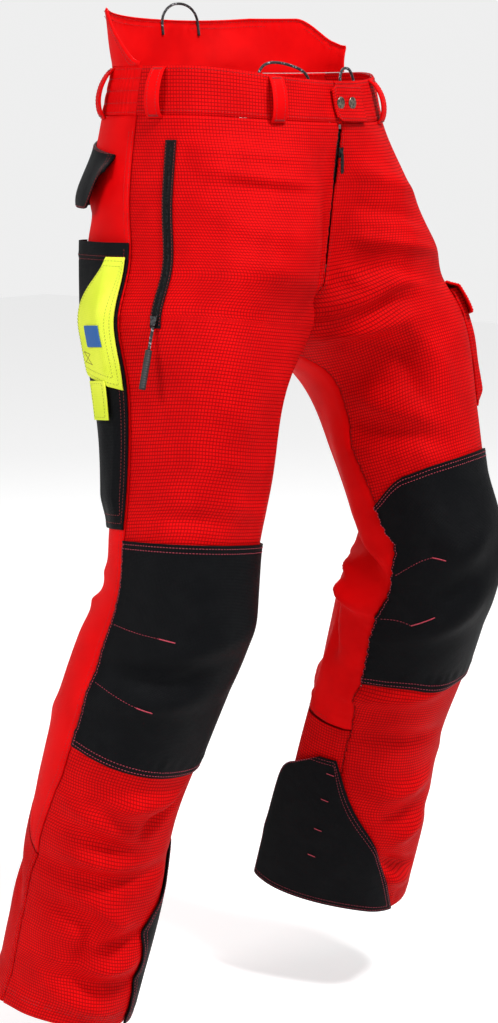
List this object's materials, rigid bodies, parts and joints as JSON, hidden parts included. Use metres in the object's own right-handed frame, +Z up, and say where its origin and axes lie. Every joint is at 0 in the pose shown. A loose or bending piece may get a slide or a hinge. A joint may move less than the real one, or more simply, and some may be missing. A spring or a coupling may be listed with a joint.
{
  "type": "chainsaw protective trousers",
  "caption": "Cut-protection work trousers in a striding stance with raised kidney panel, zipped hip pockets, pocket flaps, knee and kick patches, press-stud closure and cord loops.",
  "frame": {"origin": "middle of the waist opening, level with the waistband's top edge", "axes": "+X towards the wearer's left, -Y towards the wearer's front, +Z up"},
  "size_m": [0.543, 0.3888, 1.1048],
  "materials": {
    "red_grid_cloth": "woven ripstop, matt",
    "red_stretch_cloth": "smooth stretch weave, matt",
    "black_nylon": "coarse coated nylon, matt",
    "hivis_cloth": "smooth fluorescent weave",
    "label_blue": "printed label, satin",
    "cut_protection_wadding": "loose fibre layers",
    "grey_lining": "knitted mesh",
    "black_zip": "coated zip tape, satin",
    "zip_metal": "black lacquer",
    "snap_metal": "antique, satin",
    "black_cord": "braided cord",
    "grip_rubber": "satin tube"
  },
  "bodies": {
    "garment": {"back_panel_left": "red_stretch_cloth", "back_panel_right": "red_stretch_cloth", "belt_loop_back": "red_stretch_cloth", "belt_loop_front_left": "red_stretch_cloth", "belt_loop_front_right": "red_stretch_cloth", "belt_loop_rear_left": "red_stretch_cloth", "belt_loop_rear_right": "red_stretch_cloth", "belt_loop_side_left": "red_stretch_cloth", "belt_loop_side_right": "red_stretch_cloth", "brace_cord_front_left": "black_cord", "brace_cord_front_right": "black_cord", "calf_back_panel_left": "red_grid_cloth", "calf_back_panel_right": "red_grid_cloth", "cargo_pocket": "red_grid_cloth", "cut_protection_inlay_left": "cut_protection_wadding", "cut_protection_inlay_right": "cut_protection_wadding", "first_aid_pocket": "hivis_cloth", "fly_shield": "red_stretch_cloth", "fly_zip_tape_left": "black_zip", "fly_zip_tape_right": "black_zip", "front_panel_left": "red_grid_cloth", "front_panel_right": "red_grid_cloth", "hanger_cord_back": "black_cord", "hip_pocket_bag_left": "grey_lining", "hip_pocket_bag_right": "grey_lining", "hip_zip_left": "black_zip", "hip_zip_right": "black_zip", "inlay_lining_left": "grey_lining", "inlay_lining_right": "grey_lining", "kick_panel_left": "black_nylon", "kick_panel_right": "black_nylon", "kidney_panel": "red_stretch_cloth", "knee_patch_left": "black_nylon", "knee_patch_right": "black_nylon", "pocket_label": "label_blue", "rear_pocket_bag": "grey_lining", "snap_stud_1": "snap_metal", "snap_stud_2": "snap_metal", "thigh_pocket": "black_nylon", "waistband_back": "red_stretch_cloth", "waistband_front_left": "red_grid_cloth", "waistband_front_right": "red_grid_cloth"},
    "fly_slider_body": {"fly_slider": "zip_metal"},
    "fly_puller_body": {"fly_puller": "zip_metal"},
    "hip_slider_right_body": {"hip_zip_slider_right": "zip_metal"},
    "hip_slider_left_body": {"hip_zip_slider_left": "zip_metal"},
    "hip_pull_right_body": {"hip_pull_cord_right": "black_cord", "hip_pull_grip_right": "grip_rubber"},
    "hip_pull_left_body": {"hip_pull_cord_left": "black_cord", "hip_pull_grip_left": "grip_rubber"},
    "closure_tab_body": {"closure_tab": "red_grid_cloth", "snap_cap_1": "snap_metal", "snap_cap_2": "snap_metal"},
    "rear_flap_body": {"rear_pocket_flap": "black_nylon"},
    "cargo_flap_body": {"cargo_pocket_flap": "red_grid_cloth"},
    "first_aid_tab_body": {"first_aid_pull_tab": "hivis_cloth"}
  },
  "joints": [
    {"name": "fly_zip_slide", "type": "slide", "parent": "garment", "child": "fly_slider_body", "axis": [0, -0.1246, 0.9922], "range_m": [-0.115, 0.02]},
    {"name": "fly_puller_swing", "type": "hinge", "parent": "fly_slider_body", "child": "fly_puller_body", "pos_m": [0, -0.1246, -0.089], "axis": [-1, 0, 0], "range_deg": [0, 105]},
    {"name": "hip_zip_slide_right", "type": "slide", "parent": "garment", "child": "hip_slider_right_body", "axis": [0.2741, 0.1141, 0.9549], "range_m": [0, 0.165]},
    {"name": "hip_zip_slide_left", "type": "slide", "parent": "garment", "child": "hip_slider_left_body", "axis": [-0.2577, 0.2096, 0.9432], "range_m": [0, 0.15]},
    {"name": "hip_pull_swing_right", "type": "hinge", "parent": "hip_slider_right_body", "child": "hip_pull_right_body", "pos_m": [-0.2292, -0.0581, -0.2597], "axis": [-0.2327, 0.9723, 0.0206], "range_deg": [0, 45]},
    {"name": "hip_pull_swing_left", "type": "hinge", "parent": "hip_slider_left_body", "child": "hip_pull_left_body", "pos_m": [0.2226, -0.0725, -0.2435], "axis": [-0.1998, -0.9797, -0.0146], "range_deg": [0, 45]},
    {"name": "closure_tab_fold", "type": "hinge", "parent": "garment", "child": "closure_tab_body", "pos_m": [0.044, -0.1193, -0.037], "axis": [0, 0.2542, 0.9672], "range_deg": [0, 120]},
    {"name": "rear_flap_lift", "type": "hinge", "parent": "garment", "child": "rear_flap_body", "pos_m": [-0.1298, 0.1042, -0.073], "axis": [0.7974, 0.586, 0.1444], "range_deg": [0, 110]},
    {"name": "cargo_flap_lift", "type": "hinge", "parent": "garment", "child": "cargo_flap_body", "pos_m": [0.2008, -0.1195, -0.2364], "axis": [-0.5657, -0.8043, 0.182], "range_deg": [0, 110]},
    {"name": "first_aid_tab_lift", "type": "hinge", "parent": "garment", "child": "first_aid_tab_body", "pos_m": [-0.2316, 0.017, -0.3194], "axis": [0.326, 0.9405, -0.0961], "range_deg": [0, 90]}
  ]
}
